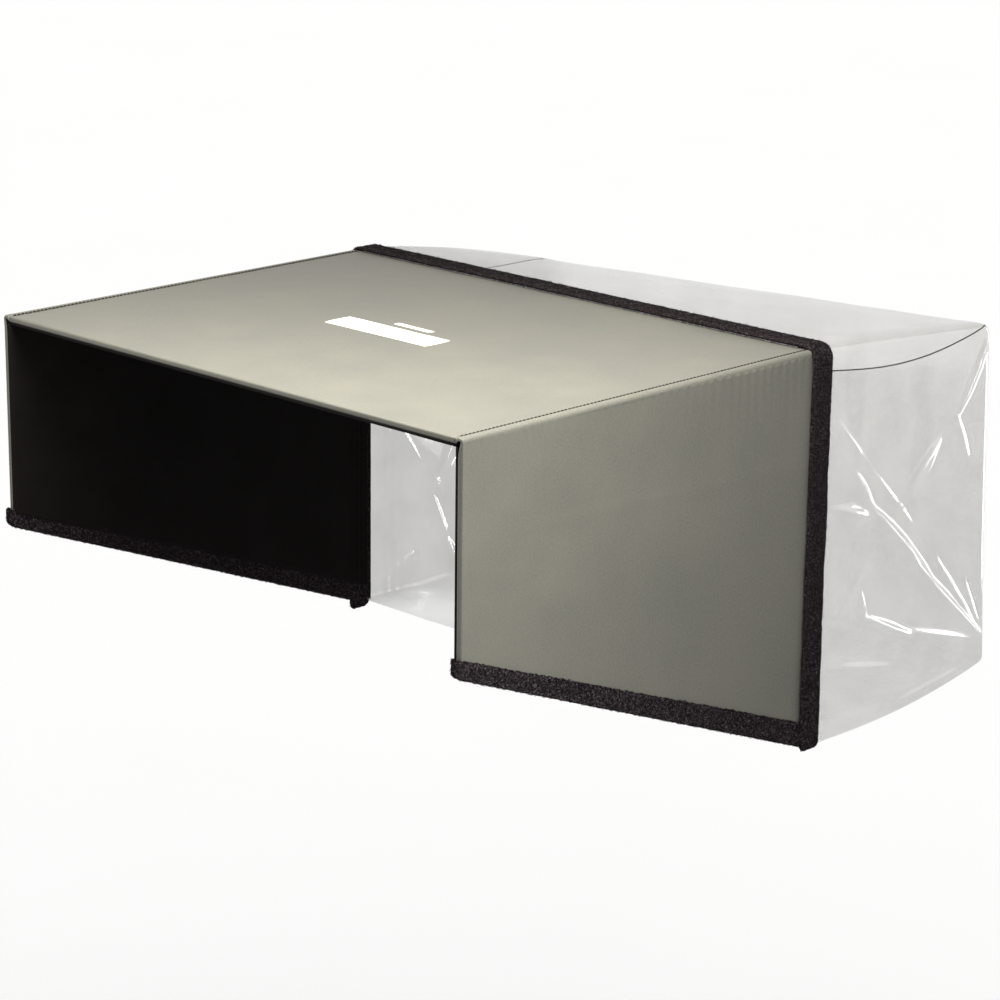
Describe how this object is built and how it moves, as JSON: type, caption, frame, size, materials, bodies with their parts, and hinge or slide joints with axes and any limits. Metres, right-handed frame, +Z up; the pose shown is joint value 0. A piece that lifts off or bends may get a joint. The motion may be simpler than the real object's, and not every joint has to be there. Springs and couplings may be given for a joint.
{
  "type": "folding fabric hood with clear rear cover",
  "caption": "Stiffened fabric hood, open at front and bottom, with side panels hinged to fold under its top and a limp clear vinyl cover pressed on round its rear.",
  "frame": {"origin": "on the underside of the top panel, at the middle of the line where the hood rests on the top edge of a screen, 20 mm ahead of the panels' rear edge", "axes": "+X to the right as seen from the open front, +Y rearwards into the clear cover, +Z up"},
  "size_m": [0.4374, 0.5257, 0.2752],
  "materials": {
    "shell": "satin",
    "lining": "matte",
    "board": "matte",
    "tape": "matte",
    "hook": "matte",
    "thread": "matte",
    "vinyl": "gloss"
  },
  "bodies": {
    "top_panel": {"top_board": "board", "top_outer_skin": "shell", "top_lining": "lining", "top_front_hem": "shell", "top_hook_tape": "hook", "left_hinge_cloth": "shell", "right_hinge_cloth": "shell", "left_top_stitching": "thread", "right_top_stitching": "thread"},
    "left_side": {"left_board": "board", "left_outer_skin": "shell", "left_lining": "lining", "left_front_hem": "shell", "left_bottom_binding": "tape", "left_hook_tape": "hook"},
    "right_side": {"right_board": "board", "right_outer_skin": "shell", "right_lining": "lining", "right_front_hem": "shell", "right_bottom_binding": "tape", "right_hook_tape": "hook"},
    "rear_cover": {"cover_edge_tape": "tape", "edge_tape_stitching": "thread", "cover_top": "vinyl", "cover_left_wall": "vinyl", "cover_right_wall": "vinyl", "cover_back": "vinyl", "cover_bottom": "vinyl", "cover_left_seam_thread": "thread", "cover_right_seam_thread": "thread"}
  },
  "joints": [
    {"name": "left_fold", "type": "hinge", "parent": "top_panel", "child": "left_side", "pos_m": [-0.21225, 0, -0.00435], "axis": [0, -1, 0], "range_deg": [0, 86]},
    {"name": "right_fold", "type": "hinge", "parent": "top_panel", "child": "right_side", "pos_m": [0.21225, 0, -0.00435], "axis": [0, 1, 0], "range_deg": [0, 90]},
    {"name": "cover_pull_off", "type": "slide", "parent": "top_panel", "child": "rear_cover", "axis": [0, 1, 0], "range_m": [0, 0.1]}
  ]
}
